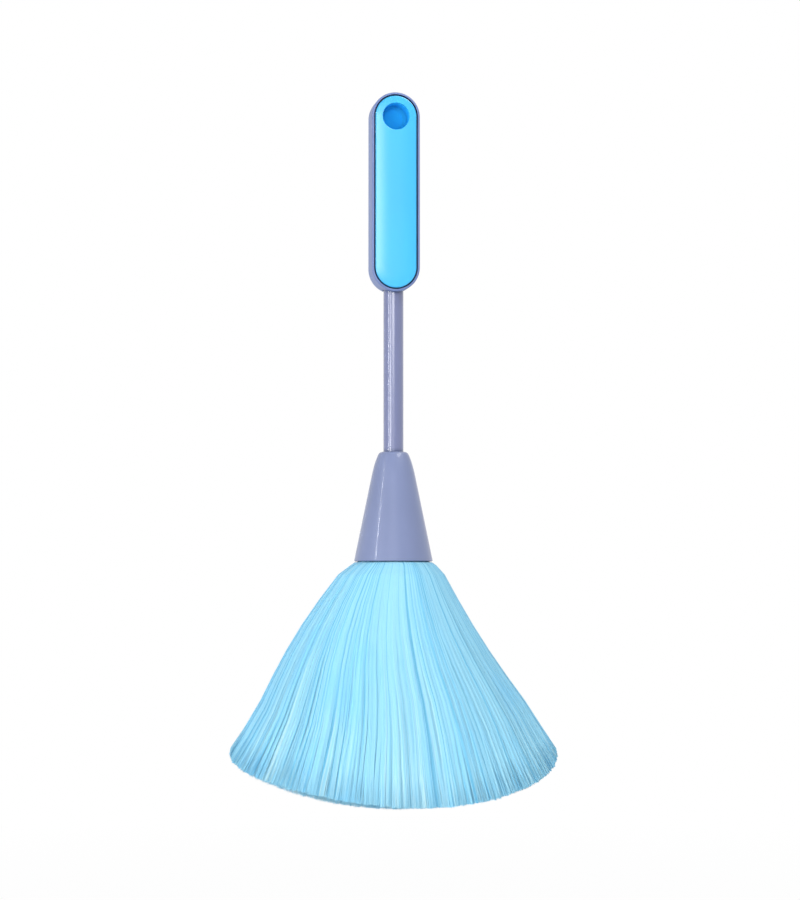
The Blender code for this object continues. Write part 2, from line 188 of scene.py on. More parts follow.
# Painted light: the tips, and the tufts under the skirt, are made paler to lift their shade
TIP_PAINTED_LIGHT = 0.15
TIP_POWER = 4
STREAK_COUNTS = (9, 17, 31)
STREAK_SHARE = 0.15
LOCK_TONE_SHARE = 0.6
TRIM_DEPTH = 0.0012
TRIM_POWER = 3
GOLDEN_TURN = pi * (3 - sqrt(5))

# Where the outermost fibres run past the lip of the cone, as (distance from the axis, height over the mouth)
MOUTH_PROFILE = ((0.0154, holder_low.z - cone_low.z), (0.0176, -FIT), (0.019, -0.0005), (0.021, -0.0019))

# Ranges of the random draws
SHADE_LINE_DEPTHS = (0.2, 1)
LOCK_BULGES = (0.6, 1.4)
LOCK_TONES = (0.1, 0.75)
LOCK_BLUES = (0.03, 0.12)
LOCK_SWAYS = (0.3, 1.5)
LOCK_SWAY_TURNS = (3, 7)
LOCK_TRIMS = (-0.0004, 0.0003)
STRAND_DRIFTS = (-0.25, 0.25)
STRAND_LIFTS = (-0.2, 0.1)
STRAND_WIDTHS = (0.75, 1.2)

# How white the floor is near the duster, to the camera
FLOOR_WHITE_SHARE = 0.94

# Lamps, each with the setting of its power and its share of that, its azimuth and elevation in degrees,
# its distance and its size
Lamp = namedtuple("Lamp", "name power share azimuth elevation distance size")
LAMPS = (
    Lamp("key_light_1", "key_power", 0.6, -47, 0, 1.2, (0.1, 0.5)),
    Lamp("key_light_2", "key_power", 0.4, -37, 0, 1.2, (0.1, 0.5)),
    Lamp("strip_light", "strip_power", 1, -66, 4, 1.3, (0.02, 1.3)),
    Lamp("top_light", "top_power", 1, 55, 55, 1.6, (1.0, 0.6)),
    Lamp("front_light", "front_power", 1, -11, 12, 1.6, (0.7, 0.28)),
)

# Measures that follow from these
handle_radius = shell_high.x
lower_end_z = shell_low.z
cavity_back_y = shell_high.y - HANDLE_WALL
cavity_bottom_z = lower_end_z + GRIP_DEPTH + FIT + GRIP_ROOF
plate_inset = handle_radius - plate_high.x
plate_back_y = plate_low.y + PLATE_THICKNESS
rod_radius = rod_high.x
grip_radius = rod_radius + FIT
mouth_z = cone_low.z
mouth_radius = cone_high.x
cone_height = cone_high.z - cone_low.z
pin_radius = pin_high.x
pin_z = (pin_low.z + pin_high.z) / 2

# A lock of fibres, and a strand in it with its place across and out from the middle of the lock
Lock = namedtuple("Lock", "turn half_turn room bulge tone blue sway sway_turns sway_start trim")
Strand = namedtuple("Strand", "lock across drift out tone width trim turn furrow_gap furrow_depth")


# Mesh tools

def face_front(height):
    """Turns +Z to the front, at this height."""
    return Matrix.Translation((0, 0, height)) @ Matrix.Rotation(pi / 2, 4, "X")


def arc(centre, radius, start, end, steps):
    """Points of an arc from the start angle to the end angle, in radians, both ends included."""
    turns = [start + (end - start) * i / steps for i in range(steps + 1)]
    return [(centre[0] + radius * cos(turn), centre[1] + radius * sin(turn)) for turn in turns]


def turned(profile, steps, closed=False, place=Matrix()):
    """A bmesh of (radius, height) points turned round the Z axis, then moved to its place."""
    bm = bmesh.new()
    points = [bm.verts.new((radius, 0, height)) for radius, height in profile]
    ends = points[1:] + points[:1] if closed else points[1:]
    lines = [bm.edges.new(pair) for pair in zip(points, ends)]
    bmesh.ops.spin(
        bm, geom=points + lines, cent=(0, 0, 0), axis=(0, 0, 1), angle=tau, steps=steps, use_merge=True
    )
    bmesh.ops.remove_doubles(bm, verts=bm.verts[:], dist=MERGE)
    bmesh.ops.transform(bm, matrix=place, verts=bm.verts[:])
    return bm


def post(radius, front, back, height, steps):
    """A round bar that runs front to back."""
    profile = [(0, -front), (radius, -front), (radius, -back), (0, -back)]
    return turned(profile, steps, place=face_front(height))


def round_edges(bm, edge_y, rounding, segments):
    """Rounds the edges that lie at this place along Y."""
    edges = [edge for edge in bm.edges if all(abs(vert.co.y - edge_y) < MERGE for vert in edge.verts)]
    bmesh.ops.bevel(
        bm, geom=edges, offset=rounding, segments=segments, profile=0.5, material=-1, affect="EDGES"
    )


def slab(steps, inset, front, back, lowest=None):
    """An upright slab with round ends, this far inside the outline of the handle."""
    radius = handle_radius - inset
    if lowest is None:
        lowest = lower_end_z + inset
    half_step = pi / steps
    upright = Matrix.Translation((0, front, 0)) @ face_front(0) @ Matrix.Rotation(half_step, 4, "Z")
    bm = bmesh.new()
    bmesh.ops.create_circle(
        bm, cap_ends=True, segments=steps, radius=radius / cos(half_step), matrix=upright
    )
    for vert in bm.verts:
        if vert.co.z < 0:
            vert.co.z += lowest + radius
    grown = bmesh.ops.extrude_face_region(bm, geom=bm.faces[:])
    far = [item for item in grown["geom"] if isinstance(item, bmesh.types.BMVert)]
    bmesh.ops.translate(bm, verts=far, vec=(0, back - front, 0))
    bmesh.ops.recalc_face_normals(bm, faces=bm.faces[:])
    return bm


def front_face(bm, front):
    """The large face that lies at this place along Y."""
    flat = [face for face in bm.faces if all(abs(vert.co.y - front) < MERGE for vert in face.verts)]
    return max(flat, key=lambda face: face.calc_area())


def step_in(bm, face, steps):
    """Insets a face again and again, each time by (thickness, rise)."""
    for thickness, rise in steps:
        bmesh.ops.inset_region(bm, faces=[face], thickness=thickness, depth=rise, use_even_offset=True)


def solid(name, bm):
    """The bmesh as an object at the origin, with its faces pointing out."""
    bmesh.ops.recalc_face_normals(bm, faces=bm.faces[:])
    mesh = bpy.data.meshes.new(name)
    bm.to_mesh(mesh)
    bm.free()
    made = bpy.data.objects.new(name, mesh)
    bpy.context.scene.collection.objects.link(made)
    return made


def join(piece, helpers, operation):
    """Adds a Boolean for each helper, in order."""
    for helper in helpers:
        boolean = piece.modifiers.new("join", "BOOLEAN")
        boolean.operation = operation
        boolean.solver = "EXACT"
        boolean.object = helper


def settle(piece):
    """Applies the Booleans of a piece and removes its helpers."""
    helpers = [modifier.object for modifier in piece.modifiers]
    rough = piece.data
    graph = bpy.context.evaluated_depsgraph_get()
    piece.data = bpy.data.meshes.new_from_object(piece.evaluated_get(graph))
    piece.modifiers.clear()
    bpy.data.meshes.remove(rough)
    for helper in helpers:
        bpy.data.meshes.remove(helper.data)


def dress(piece, material, nodes):
    """Gives a piece its finish and even shading, and lets it stand for these CAD nodes."""
    piece.data.materials.clear()
    piece.data.materials.append(material)
    piece.data.shade_smooth()
    piece.data.set_sharp_from_angle(angle=SHARP_ANGLE)
    shading = piece.modifiers.new("even_shading", "WEIGHTED_NORMAL")
    shading.keep_sharp = True
    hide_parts(*nodes)
    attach(piece, BODY)


# Finishes

def new_finish(name, roughness, **sockets):
    """A material, its node tree and its shader, which holds the values that are the same all over."""
    material = bpy.data.materials.new(name)
    material.use_nodes = True
    shader = material.node_tree.nodes["Principled BSDF"]
    shader.inputs["Roughness"].default_value = roughness
    for socket, value in sockets.items():
        shader.inputs[socket.replace("_", " ")].default_value = value
    return material, material.node_tree, shader


def feed(tree, node, inputs):
    """Links each named or numbered input of a node to a socket, or sets it to a plain value."""
    for name, value in inputs.items():
        if isinstance(value, bpy.types.NodeSocket):
            tree.links.new(value, node.inputs[name])
        else:
            node.inputs[name].default_value = value


def add_node(tree, kind, inputs, **settings):
    """A new node of this kind, with these settings and inputs."""
    made = tree.nodes.new(f"ShaderNode{kind}")
    for setting, value in settings.items():
        setattr(made, setting, value)
    feed(tree, made, inputs)
    return made


def object_place(tree):
    """Object coordinates, which stay the same for a piece wherever it is moved."""
    return add_node(tree, "TexCoord", {}).outputs["Object"]


def noise(tree, size, detail=2, stretch=(1, 1, 1)):
    """The value of a noise of this feature size, on Object coordinates."""
    scaled = add_node(tree, "Mapping", {"Vector": object_place(tree), "Scale": stretch})
    inputs = {"Vector": scaled.outputs["Vector"], "Scale": 1 / size, "Detail": detail}
    return add_node(tree, "TexNoise", inputs).outputs["Fac"]


def between(tree, factor, low, high, start=0, end=1):
    """Spreads a factor that runs from start to end over the range from low to high."""
    inputs = {"Value": factor, "From Min": start, "From Max": end, "To Min": low, "To Max": high}
    return add_node(tree, "MapRange", inputs).outputs["Result"]


def shades(tree, factor, stops):
    """Colours along a ramp, as (place, colour) stops."""
    ramp = add_node(tree, "ValToRGB", {"Fac": factor})
    elements = ramp.color_ramp.elements
    while len(elements) < len(stops):
        elements.new(1)
    for element, (place, colour) in zip(elements, stops):
        element.position = place
        element.color = (*colour, 1)
    return ramp.outputs["Color"]


def tints(colour, stops):
    """The colour made darker or paler at each (place, share) stop."""
    return [(place, [min(1, part * share) for part in colour]) for place, share in stops]


def bump(tree, shader, height, depth):
    """Gives the surface relief of this depth."""
    lift = add_node(tree, "Bump", {"Height": height, "Distance": depth})
    feed(tree, shader, {"Normal": lift.outputs["Normal"]})


def calculate(tree, operation, first, second):
    """Works out a value from two others."""
    return add_node(tree, "Math", {0: first, 1: second}, operation=operation).outputs["Value"]


def mix_colours(tree, factor, low, high):
    """Goes from one colour to another as the factor rises."""
    inputs = {"Factor": factor, "A": low, "B": high}
    return add_node(tree, "Mix", inputs, data_type="RGBA").outputs["Result"]


def mix_shaders(tree, factor, low, high):
    """Goes from the shader of one node to that of another as the factor rises."""
    return add_node(tree, "MixShader", {0: factor, 1: low.outputs[0], 2: high.outputs[0]})


def painted_gap_shade(tree, colour):
    """Paints shade: turns a colour to navy where ambient occlusion finds the surface hidden in a narrow gap.
    """
    around = add_node(tree, "AmbientOcclusion", {"Distance": GAP_SHADE_DISTANCE}, samples=8)
    open_share = calculate(tree, "POWER", around.outputs["AO"], GAP_SHADE_POWER)
    return mix_colours(tree, open_share, (*GAP_SHADE_COLOUR, 1), colour)


def moulded_plastic(name, colour, roughness, grain_size, grain_depth, **sockets):
    """Moulded plastic: a fine grain, faint flow marks in the colour, gloss that varies a little, and painted
    shade in narrow gaps.
    """
    material, tree, shader = new_finish(name, roughness, **sockets)
    flow = noise(tree, size=0.014, detail=3, stretch=(1, 1, 0.35))
    worn = noise(tree, size=0.006, detail=4, stretch=(1, 1, 0.5))
    # Painted shade: the base colour turns navy in narrow gaps.
    feed(tree, shader, {
        "Base Color": painted_gap_shade(tree, shades(tree, flow, tints(colour, FLOW_STOPS))),
        "Roughness": between(tree, worn, roughness - WEAR_SPREAD, roughness + WEAR_SPREAD),
    })
    bump(tree, shader, noise(tree, grain_size, detail=3), grain_depth)
    return material


def turned_steel():
    """Bright steel with fine marks of turning."""
    material, tree, shader = new_finish("turned_steel", roughness=0.3, Metallic=1)
    marks = noise(tree, size=0.0004, detail=4, stretch=(0.2, 0.2, 1))
    feed(tree, shader, {
        "Base Color": shades(tree, marks, tints(STEEL_COLOUR, MARK_STOPS)),
        "Roughness": between(tree, marks, *STEEL_ROUGHNESS),
    })
    bump(tree, shader, marks, depth=0.00001)
    return material


def static_fibre(settings):
    """Fine fibres: each lock and each fibre has a shade of its own, some patches are bluer, and the tone also
    carries painted shade lines and painted light at the tips.
    """
    material, tree, shader = new_finish(
        "static_fibre", settings.roughness, Sheen_Weight=0.35, Sheen_Roughness=0.4, Specular_IOR_Level=0.35
    )
    tone, blue = (add_node(tree, "Attribute", {}, attribute_name=name).outputs["Fac"] for name in SHADES)
    main = [(place, settings.main_colour) for place in MAIN_TONES]
    own = shades(tree, tone, [(0, settings.deep_and_shade_colour), *main, (1, settings.pale_and_lit_colour)])
    both = calculate(tree, "ADD", blue, noise(tree, size=0.02, stretch=(1, 1, 0.5)))
    share = between(tree, both, low=0, high=0.8, start=0.66, end=0.98)
    feed(tree, shader, {"Base Color": mix_colours(tree, share, own, (*settings.patch_colour, 1))})
    return material


# Sizes and colours that a user would change

class DusterHandle(bpy.types.PropertyGroup):
    shell_colour: bpy.props.FloatVectorProperty(
        name="Shell colour", description="Colour of the grey shell", subtype="COLOR",
        default=(0.17, 0.235, 0.475),
    )
    plate_colour: bpy.props.FloatVectorProperty(
        name="Plate colour", description="Colour of the blue front plate", subtype="COLOR",
        default=(0.035, 0.515, 0.96),
    )
    crown: bpy.props.FloatProperty(
        name="Crown", description="How far the plate falls to its edge", unit="LENGTH", default=0.0004
    )
    outline_steps: bpy.props.IntProperty(
        name="Outline steps", description="Steps round both ends of the handle together", default=96
    )
    edge_steps: bpy.props.IntProperty(name="Edge steps", description="Steps across a rounded edge", default=8)


class DusterNeck(bpy.types.PropertyGroup):
    rod_colour: bpy.props.FloatVectorProperty(
        name="Tube colour", description="Colour of the tube", subtype="COLOR", default=(0.165, 0.19, 0.36)
    )
    cone_colour: bpy.props.FloatVectorProperty(
        name="Cone colour", description="Colour of the cone", subtype="COLOR", default=(0.195, 0.24, 0.42)
    )
    turn_steps: bpy.props.IntProperty(name="Turn steps", description="Steps round tube and cone", default=96)
    arc_steps: bpy.props.IntProperty(name="Arc steps", description="Steps along each rounding", default=8)


class DusterFibres(bpy.types.PropertyGroup):
    main_colour: bpy.props.FloatVectorProperty(
        name="Main colour", description="Colour of most fibres", subtype="COLOR", default=(0.355, 0.76, 0.95)
    )
    # The pale colour also shows the painted light at the tips, and the deep colour the painted shade lines
    pale_and_lit_colour: bpy.props.FloatVectorProperty(
        name="Pale colour", description="Colour of the palest fibres", subtype="COLOR",
        default=(0.62, 0.91, 0.97),
    )
    deep_and_shade_colour: bpy.props.FloatVectorProperty(
        name="Deep colour", description="Colour of the deepest fibres", subtype="COLOR",
        default=(0.17, 0.56, 0.8),
    )
    patch_colour: bpy.props.FloatVectorProperty(
        name="Patch colour", description="Colour of the bluer patches", subtype="COLOR",
        default=(0.27, 0.71, 0.97),
    )
    roughness: bpy.props.FloatProperty(
        name="Roughness", description="How dull the fibres are", subtype="FACTOR", default=0.55
    )
    locks: bpy.props.IntProperty(name="Locks", description="Locks in each layer of the skirt", default=212)
    strands: bpy.props.IntProperty(name="Strands", description="Strands in a lock", default=32)
    tufts: bpy.props.IntProperty(name="Tufts", description="Small tufts under the skirt", default=1500)
    tuft_strands: bpy.props.IntProperty(name="Tuft strands", description="Strands in a tuft", default=16)
    levels: bpy.props.IntProperty(name="Levels", description="Steps along a strand", default=7)
    width: bpy.props.FloatProperty(
        name="Strand width", description="Half the width of a strand", unit="LENGTH", default=0.00019
    )
    tuft_room: bpy.props.FloatProperty(
        name="Tuft room", description="Radius of a tuft at its tip", unit="LENGTH", default=0.0018
    )
    bulge: bpy.props.FloatProperty(
        name="Bulge", description="How far the middle of a lock stands out, as a share of half its width",
        subtype="FACTOR", default=0.26,
    )
    unevenness: bpy.props.FloatProperty(
        name="Unevenness", description="How much the widths of the locks vary", subtype="FACTOR", default=0.6
    )
    sway: bpy.props.FloatProperty(
        name="Sway", description="How far a lock wanders sideways", unit="LENGTH", default=0.0006
    )
    lean: bpy.props.FloatProperty(
        name="Lean", description="How far the skirt leans half way down", unit="LENGTH", default=0.003
    )
    droop: bpy.props.FloatProperty(
        name="Droop", description="How far the front and the back hang down, in degrees", default=2.8
    )
    pleats: bpy.props.IntProperty(name="Pleats", description="Pleats of the packed middle", default=300)
    pleat_depth: bpy.props.FloatProperty(
        name="Pleat depth", description="Depth of the pleats", subtype="FACTOR", default=0.02
    )
    # Painted shade: thin lines round the skirt where the fibre colour is made deeper, and how much deeper
    painted_shade_lines: bpy.props.IntProperty(name="Furrows", description="Fine furrows round the skirt", default=170)
    furrow_depth: bpy.props.FloatProperty(
        name="Furrow depth", description="How much deeper the colour is in a furrow", default=1.2
    )
    seed: bpy.props.IntProperty(name="Seed", description="Start of the random draws", default=7)


class DusterStage(bpy.types.PropertyGroup):
    azimuth: bpy.props.FloatProperty(
        name="Camera azimuth", description="How far right the camera is", subtype="ANGLE",
        default=radians(-9.18),
    )
    elevation: bpy.props.FloatProperty(
        name="Camera elevation", description="How far the camera is up", subtype="ANGLE",
        default=radians(-2.85),
    )
    distance: bpy.props.FloatProperty(
        name="Camera distance", description="From the camera to its aim", unit="LENGTH", default=1.259
    )
    aim_height: bpy.props.FloatProperty(
        name="Aim height", description="Height that the camera aims at", unit="LENGTH", default=-0.1651
    )
    aim_side: bpy.props.FloatProperty(
        name="Aim side", description="How far right of the tube it aims", unit="LENGTH", default=0.00327
    )
    lens: bpy.props.FloatProperty(name="Lens", description="Focal length in millimetres", default=101.7)
    key_power: bpy.props.FloatProperty(
        name="Key light", description="Power of the large soft light", unit="POWER", default=3.7
    )
    strip_power: bpy.props.FloatProperty(
        name="Strip light", description="Power of the narrow light", unit="POWER", default=4.9
    )
    top_power: bpy.props.FloatProperty(
        name="Top light", description="Power of the large light from above", unit="POWER", default=11.5
    )
    front_power: bpy.props.FloatProperty(
        name="Front light", description="Power of the light from the front", unit="POWER", default=5.2
    )
    sky_strength: bpy.props.FloatProperty(
        name="Sky strength", description="Strength of the even light from all round", default=0.37
    )
    shadow_near: bpy.props.FloatProperty(
        name="Shadow near", description="How far out the floor shows shadows", unit="LENGTH", default=0.25
    )
    shadow_far: bpy.props.FloatProperty(
        name="Shadow far", description="How far out the floor turns white", unit="LENGTH", default=0.7
    )
    floor_radius: bpy.props.FloatProperty(
        name="Floor radius", description="Radius of the round floor", unit="LENGTH", default=3
    )
    floor_gap: bpy.props.FloatProperty(
        name="Floor gap", description="How far the duster hangs above the floor", unit="LENGTH", default=0.06
    )


# Handle

def post_heights():
    """Where the posts of the front plate stand, between the hanging socket and the grip."""
    top = -(SOCKET_DIAMETER / 2 + SOCKET_WALL)
    return [top + (cavity_bottom_z - top) * share for share in POST_PLACE_SHARES]


def boss(height, steps):
    """A boss on the back wall of the shell, with a blind hole for a post."""
    hole_radius = POST_DIAMETER / 2 + FIT
    front = BOSS_HEIGHT - cavity_back_y
    floor = BOSS_FLOOR - cavity_back_y
    root = -(cavity_back_y + HANDLE_WALL / 2)
    profile = [
        (0, floor),
        (hole_radius, floor),
        (hole_radius, front),
        (hole_radius + BOSS_WALL, front),
        (hole_radius + BOSS_WALL, root),
        (0, root),
    ]
    return turned(profile, steps, place=face_front(height))


class DUSTER_OT_handle_shell(bpy.types.Operator):
    """Builds the hollow grey shell of the handle"""

    bl_idname = "duster.handle_shell"
    bl_label = "Handle shell"

    def execute(self, context):
        handle = context.scene.duster_handle
        steps = handle.outline_steps
        front = shell_low.y
        bm = slab(steps, 0, front, shell_high.y)
        round_edges(bm, front, HANDLE_FRONT_ROUND, handle.edge_steps)
        round_edges(bm, shell_high.y, HANDLE_BACK_ROUND, 2 * handle.edge_steps)
        rim = HANDLE_RIM - HANDLE_FRONT_ROUND - RIM_LIP
        step_in(bm, front_face(bm, front), [(rim, 0), (RIM_LIP, -RIM_LIP), (0, RIM_LIP - SEAT_DEPTH)])
        shell = solid("handle_shell", bm)

        cavity = slab(steps, HANDLE_WALL, front - OVERRUN, cavity_back_y, cavity_bottom_z)
        round_edges(cavity, cavity_back_y, HANDLE_BACK_ROUND - HANDLE_WALL, handle.edge_steps)
        grip_top = lower_end_z + GRIP_DEPTH + FIT
        grip_end = lower_end_z - OVERRUN
        grip = [(0, grip_top), (grip_radius, grip_top), (grip_radius, grip_end), (0, grip_end)]
        pin_hole = post(pin_radius + FIT, front - OVERRUN, pin_high.y + FIT, pin_z, steps)
        join(shell, [solid("cavity", cavity)], "DIFFERENCE")
        join(shell, [solid("boss", boss(height, steps)) for height in post_heights()], "UNION")
        join(shell, [solid("grip", turned(grip, steps)), solid("pin_hole", pin_hole)], "DIFFERENCE")
        settle(shell)
        finish = moulded_plastic(
            "grey_shell_plastic", handle.shell_colour, roughness=0.42, grain_size=0.0007, grain_depth=0.000015
        )
        dress(shell, finish, ["handle_rear_shell"])
        return {"FINISHED"}


class DUSTER_OT_front_plate(bpy.types.Operator):
    """Builds the crowned blue plate with its hanging socket and posts"""

    bl_idname = "duster.front_plate"
    bl_label = "Front plate"

    def execute(self, context):
        handle = context.scene.duster_handle
        steps = handle.outline_steps
        front = plate_low.y
        wall_top = front + handle.crown + PLATE_EDGE_ROUND
        bm = slab(steps, plate_inset, wall_top, plate_back_y)
        edge = arc((0, 0), PLATE_EDGE_ROUND, pi, pi / 2, handle.edge_steps)
        crown_end = handle_radius - plate_inset - PLATE_EDGE_ROUND - CROWN_END
        crown = []
        crown_steps = 2 * handle.edge_steps
        for step in range(1, crown_steps + 1):
            share = step / crown_steps
            rise = handle.crown * (1 - (1 - share) ** CROWN_POWER)
            crown.append((crown_end * share, PLATE_EDGE_ROUND + rise))
        outline = edge + crown
        rises = [(b[0] - a[0], b[1] - a[1]) for a, b in zip(outline, outline[1:])]
        step_in(bm, front_face(bm, wall_top), rises)
        plate = solid("front_plate", bm)

        root = plate_back_y - PLATE_THICKNESS / 2
        floor_y = front + SOCKET_DEPTH
        cup = post(SOCKET_DIAMETER / 2 + SOCKET_WALL, root, floor_y + SOCKET_FLOOR, 0, steps)
        post_end = cavity_back_y - BOSS_FLOOR - FIT
        posts = [post(POST_DIAMETER / 2, root, post_end, height, steps) for height in post_heights()]
        join(plate, [solid("post", bar) for bar in (cup, *posts)], "UNION")
        join(plate, [solid("socket", self.socket(-front, -floor_y, handle))], "DIFFERENCE")
        settle(plate)
        finish = moulded_plastic(
            "blue_plate_plastic", handle.plate_colour, roughness=0.3, grain_size=0.0009, grain_depth=0.000008,
            Coat_Roughness=0.25,
        )
        self.gloss_in_front(finish.node_tree, wall_top)
        dress(plate, finish, ["handle_front_cover"])
        return {"FINISHED"}

    def gloss_in_front(self, tree, wall_top):
        """Keeps the gloss to the front, so that the socket stays a deep blue."""
        parts = add_node(tree, "SeparateXYZ", {"Vector": object_place(tree)})
        gloss = between(tree, parts.outputs["Y"], 1, 0, start=wall_top, end=wall_top + PLATE_EDGE_ROUND)
        dimmed = calculate(tree, "MULTIPLY", gloss, PLATE_SPECULAR)
        feed(tree, tree.nodes["Principled BSDF"], {"Coat Weight": gloss, "Specular IOR Level": dimmed})

    def socket(self, front, floor, handle):
        """The space of the hanging socket, with a rounded rim and a floor that is rounded into its wall."""
        radius = SOCKET_DIAMETER / 2
        rim = SOCKET_RIM_ROUND
        floor_centre = (radius - SOCKET_FLOOR_ROUND, floor + SOCKET_FLOOR_ROUND)
        profile = [
            (0, front + OVERRUN),
            (radius + rim, front + OVERRUN),
            *arc((radius + rim, front - rim), rim, pi / 2, pi, handle.edge_steps),
            *arc(floor_centre, SOCKET_FLOOR_ROUND, 0, -pi / 2, handle.edge_steps),
            (0, floor),
        ]
        return turned(profile, handle.outline_steps, place=face_front(0))


# Tube and cone

class DUSTER_OT_rod(bpy.types.Operator):
    """Builds the tube between the handle and the cone"""

    bl_idname = "duster.rod"
    bl_label = "Tube"

    def execute(self, context):
        neck = context.scene.duster_neck
        inner = rod_radius - ROD_WALL
        profile = [
            (rod_radius - ROD_END_CHAMFER, rod_high.z),
            (rod_radius, rod_high.z - ROD_END_CHAMFER),
            (rod_radius, rod_low.z + ROD_END_CHAMFER),
            (rod_radius - ROD_END_CHAMFER, rod_low.z),
            (inner, rod_low.z),
            (inner, rod_high.z),
        ]
        rod = solid("tube", turned(profile, neck.turn_steps, closed=True))
        hole = post(pin_radius + FIT, -2 * rod_radius, 2 * rod_radius, pin_z, neck.turn_steps)
        join(rod, [solid("tube_pin_hole", hole)], "DIFFERENCE")
        settle(rod)
        finish = moulded_plastic(
            "grey_tube_finish", neck.rod_colour, roughness=0.24, grain_size=0.0005, grain_depth=0.000001,
            Coat_Weight=1, Coat_Roughness=0.15,
        )
        dress(rod, finish, ["rod"])
        return {"FINISHED"}


class DUSTER_OT_cone(bpy.types.Operator):
    """Builds the cone that holds the fibres"""

    bl_idname = "duster.cone"
    bl_label = "Cone"

    def execute(self, context):
        neck = context.scene.duster_neck
        inner_top = cone_height - CONE_TOP
        sleeve_radius = grip_radius + SLEEVE_WALL
        hole_radius = SCREW_HOLE_DIAMETER / 2
        floor_bottom = holder_high.z + FIT - mouth_z
        floor_top = floor_bottom + CONE_FLOOR
        lip_centre = (mouth_radius - CONE_LIP_ROUND, CONE_LIP_ROUND)
        profile = [
            *self.shoulder(neck.arc_steps),
            *arc(lip_centre, CONE_LIP_ROUND, 0, -pi / 2, neck.arc_steps),
            (mouth_radius - CONE_WALL, 0),
            (self.radius_at(inner_top) - CONE_WALL, inner_top),
            (sleeve_radius, inner_top),
            (sleeve_radius, floor_bottom),
            (hole_radius, floor_bottom),
            (hole_radius, floor_top),
            (grip_radius, floor_top),
        ]
        place = Matrix.Translation((0, 0, mouth_z))
        cone = solid("cone", turned(profile, neck.turn_steps, closed=True, place=place))
        finish = moulded_plastic(
            "grey_cone_plastic", neck.cone_colour, roughness=0.4, grain_size=0.0008, grain_depth=0.000003,
            Coat_Weight=0.45, Coat_Roughness=0.1,
        )
        dress(cone, finish, ["ferrule"])
        return {"FINISHED"}

    def radius_at(self, height):
        return mouth_radius - CONE_SLOPE_SHARE * height

    def shoulder(self, steps):
        """The domed shoulder, from the hole for the tube down to where the straight cone starts."""
        centre = (grip_radius, cone_height - SHOULDER_ROUND)
        knee_height = cone_height - SHOULDER_KNEE
        knee = Vector((self.radius_at(knee_height), knee_height))
        away = knee - Vector(centre)
        tangent = atan2(away.y, away.x) + acos(SHOULDER_ROUND / away.length)
        top = arc(centre, SHOULDER_ROUND, pi / 2, tangent, steps)
        start = Vector(top[-1])
        end_height = knee_height - SHOULDER_BLEND
        end = Vector((self.radius_at(end_height), end_height))
        blend = []
        for step in range(1, steps + 1):
            share = step / steps
            blend.append(tuple(start.lerp(knee, share).lerp(knee.lerp(end, share), share)))
        return top + blend


class DUSTER_OT_fixings(bpy.types.Operator):
    """Gives the hidden holder, plug, pin, screw and washer their finishes"""

    bl_idname = "duster.fixings"
    bl_label = "Fixings"

    def execute(self, context):
        dark = moulded_plastic(
            "dark_moulding", colour=(0.05, 0.055, 0.07), roughness=0.5, grain_size=0.0008, grain_depth=0.00002
        )
        for material, names in (
            (dark, ("fibre_holder", "rod_end_plug")),
            (turned_steel(), ("rod_pin", "holder_screw", "holder_washer")),
        ):
            for name in names:
                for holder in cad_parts[name].material_slots:
                    holder.link = "OBJECT"
                    holder.material = material
        return {"FINISHED"}


# Fibres

def skirt_point(share, turn, reach, fibres):
    """Where a fibre with this share of the fan is at this reach from the apex of the skirt."""
    way = reach / SKIRT_REACH
    start, slope, curve = SKIRT_ANGLES
    forward = sin(turn + SKIRT_FRONT_TURN) ** 2
    angle = radians(share * (start + slope * way + (curve - fibres.droop * forward) * way * way))
    radius = reach * sin(angle)
    lean = -fibres.lean * sin(pi * min(1, max(0, (way - LEAN_START) / LEAN_SPAN)))
    return Vector((
        radius * cos(turn) + lean,
        radius * sin(turn),
        mouth_z + SKIRT_APEX_HEIGHT - reach * cos(angle),
    ))


def trimmed_reach(share, turn):
    """How far the tips reach: cut back at the corner, longer in front and behind, and fuller on the right."""
    square = share * share
    forward = sin(turn + SKIRT_FRONT_TURN) ** 2
    aside = cos(turn + SKIRT_FRONT_TURN)
    fullness = SKIRT_FULLNESS * square * (1 - square)
    soft = SKIRT_FRONT_SOFTNESS
    rise = (forward + soft) ** SKIRT_FRONT_POWER - soft ** SKIRT_FRONT_POWER
    length = SKIRT_FRONT_LENGTH * rise * square ** SKIRT_FRONT_EDGE_POWER
    tilt = SKIRT_TILT * aside * square * (1 - square * aside * aside)
    cut = SKIRT_CORNER_CUT * square ** SKIRT_CORNER_POWER
    return SKIRT_REACH * (1 + fullness + length + tilt - cut)


def fan_line(share, turn, start, end, steps, fibres):
    """Points of the fan from the start reach to the end reach, with how far down the skirt each one is."""
    line = []
    for step in range(steps + 1):
        reach = start + (end - start) * step / steps
        way = max(0, reach - MOUTH_REACH) / (SKIRT_REACH - MOUTH_REACH)
        line.append((skirt_point(share, turn, reach, fibres), way))
    return line


def mouth_line(share, turn):
    """Points from the holder past the lip of the cone to where the fan starts."""
    return [
        (Vector((spread * share * cos(turn), spread * share * sin(turn), mouth_z + height)), 0)
        for spread, height in MOUTH_PROFILE
    ]


def strand_line(share, turn, fibres, reach_share=1, trim=0):
    """The whole line of a fibre, from the holder to this share of its reach."""
    end = trimmed_reach(share, turn) * reach_share + trim
    return mouth_line(share, turn) + fan_line(share, turn, MOUTH_REACH, end, fibres.levels, fibres)


def streaks(turn, starts):
    """A value from 0 to 1 that rises and falls unevenly round the skirt."""
    waves = [sin(count * turn + start) for count, start in zip(STREAK_COUNTS, starts)]
    return 0.5 + sum(waves) / (2 * len(waves))


